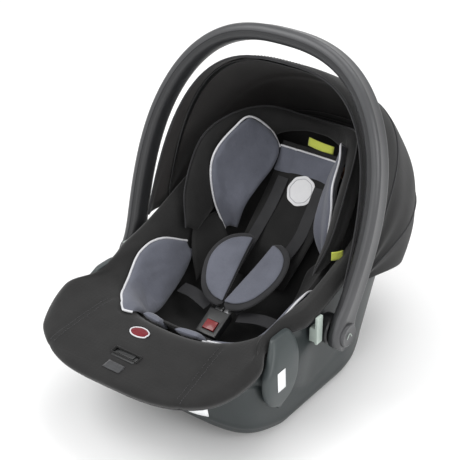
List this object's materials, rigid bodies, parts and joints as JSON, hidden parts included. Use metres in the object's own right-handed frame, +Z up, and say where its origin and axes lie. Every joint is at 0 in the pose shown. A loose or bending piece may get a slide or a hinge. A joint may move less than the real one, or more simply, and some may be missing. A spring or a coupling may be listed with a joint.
{
  "type": "infant car seat",
  "caption": "Rear-facing infant car seat with a rocker-bottomed shell, fabric cover, padded insert, harness, swinging carry handle and folding canopy.",
  "frame": {"origin": "on the floor, in the middle of the seat in width and in length", "axes": "+X to the right of someone who stands at the foot end and faces the seat, +Y from the foot end to the head end, +Z up"},
  "size_m": [0.4212, 0.643, 0.5112],
  "materials": {
    "shell_plastic": "textured",
    "foam": "matt",
    "black_fabric": "woven",
    "grey_fabric": "padded, with pale piping",
    "webbing": "woven",
    "dark_plastic": "satin",
    "red_plastic": "satin",
    "steel": "satin",
    "handle_plastic": "satin",
    "guide_plastic": "satin",
    "pale_plastic": "satin"
  },
  "bodies": {
    "seat": {"adjuster_housing": "dark_plastic", "adjuster_strap": "webbing", "back_panel": "black_fabric", "belt_guide_left": "guide_plastic", "belt_guide_right": "guide_plastic", "belt_marker_left": "pale_plastic", "belt_marker_right": "pale_plastic", "buckle_housing": "dark_plastic", "buckle_tongue_left": "steel", "buckle_tongue_right": "steel", "canopy_rear": "black_fabric", "chest_pad_left": "grey_fabric", "chest_pad_right": "grey_fabric", "crotch_pad": "grey_fabric", "crotch_strap": "webbing", "foam_liner": "foam", "harness_yoke": "steel", "head_pillow": "black_fabric", "head_wing_left": "grey_fabric", "head_wing_right": "grey_fabric", "hip_strap_left": "webbing", "hip_strap_right": "webbing", "hub_plate_left": "dark_plastic", "hub_plate_right": "dark_plastic", "pivot_pin_left": "steel", "pivot_pin_right": "steel", "seat_cover": "black_fabric", "seat_shell": "shell_plastic", "shoulder_strap_left": "webbing", "shoulder_strap_right": "webbing", "thigh_pad_left": "grey_fabric", "thigh_pad_right": "grey_fabric"},
    "handle": {"handle_outer": "handle_plastic", "handle_inner": "dark_plastic", "button_spring_left": "steel", "button_spring_right": "steel"},
    "handle_button_left": {"handle_button_left": "handle_plastic"},
    "handle_button_right": {"handle_button_right": "handle_plastic"},
    "canopy": {"canopy_front": "black_fabric", "canopy_bow": "dark_plastic", "canopy_clip_left": "dark_plastic", "canopy_clip_right": "dark_plastic"},
    "buckle_button": {"buckle_button": "red_plastic"},
    "adjuster_button": {"adjuster_button": "dark_plastic"}
  },
  "joints": [
    {"name": "handle_tilt", "type": "hinge", "parent": "seat", "child": "handle", "pos_m": [0, -0.036, 0.14], "axis": [1, 0, 0], "range_deg": [-75, 75]},
    {"name": "canopy_fold", "type": "hinge", "parent": "seat", "child": "canopy", "pos_m": [0, 0.025, 0.19], "axis": [1, 0, 0], "range_deg": [-55, 0]},
    {"name": "handle_button_left_press", "type": "slide", "parent": "handle", "child": "handle_button_left", "axis": [1, 0, 0], "range_m": [0, 0.004], "stiffness_N_per_m": 2000, "springref_m": -0.001, "deforming": ["button_spring_left"]},
    {"name": "handle_button_right_press", "type": "slide", "parent": "handle", "child": "handle_button_right", "axis": [-1, 0, 0], "range_m": [0, 0.004], "stiffness_N_per_m": 2000, "springref_m": -0.001, "deforming": ["button_spring_right"]},
    {"name": "buckle_button_press", "type": "slide", "parent": "seat", "child": "buckle_button", "axis": [0, 0.475, -0.88], "range_m": [0, 0.0025], "stiffness_N_per_m": 3000, "springref_m": -0.001},
    {"name": "adjuster_button_press", "type": "slide", "parent": "seat", "child": "adjuster_button", "axis": [0, 0, -1], "range_m": [0, 0.003], "stiffness_N_per_m": 2000, "springref_m": -0.001}
  ]
}
